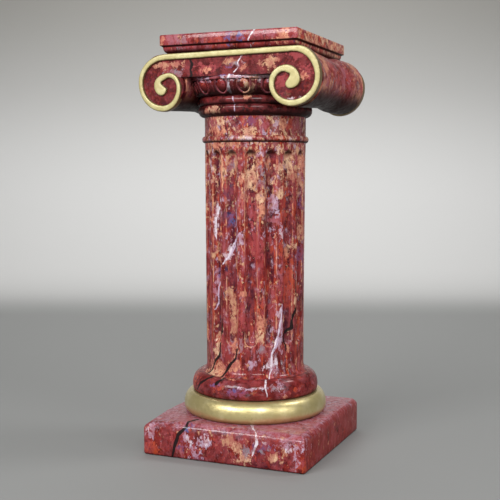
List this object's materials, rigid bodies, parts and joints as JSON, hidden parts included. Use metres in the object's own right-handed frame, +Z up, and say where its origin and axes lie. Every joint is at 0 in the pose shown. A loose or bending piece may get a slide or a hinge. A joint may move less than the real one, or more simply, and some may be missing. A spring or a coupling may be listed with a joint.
{
  "type": "column plant stand",
  "caption": "Fluted column stand with a square plinth, a gilded ring and a scrolled capital; its flat top carries a plant pot, a bust or a lamp.",
  "frame": {"origin": "centre of the plinth's underside", "axes": "+Z up the column's axis, -Y the front with the scrolls, X along the scrolled face"},
  "size_m": [0.3336, 0.3014, 0.73],
  "materials": {
    "red_marble_paint": "hand-painted red marble under glossy varnish, on cast plaster",
    "gold_paint": "gold paint on the scroll bands and on the ring of the base"
  },
  "bodies": {
    "root": {"base": "red_marble_paint", "shaft": "red_marble_paint", "capital": "red_marble_paint"}
  },
  "joints": []
}
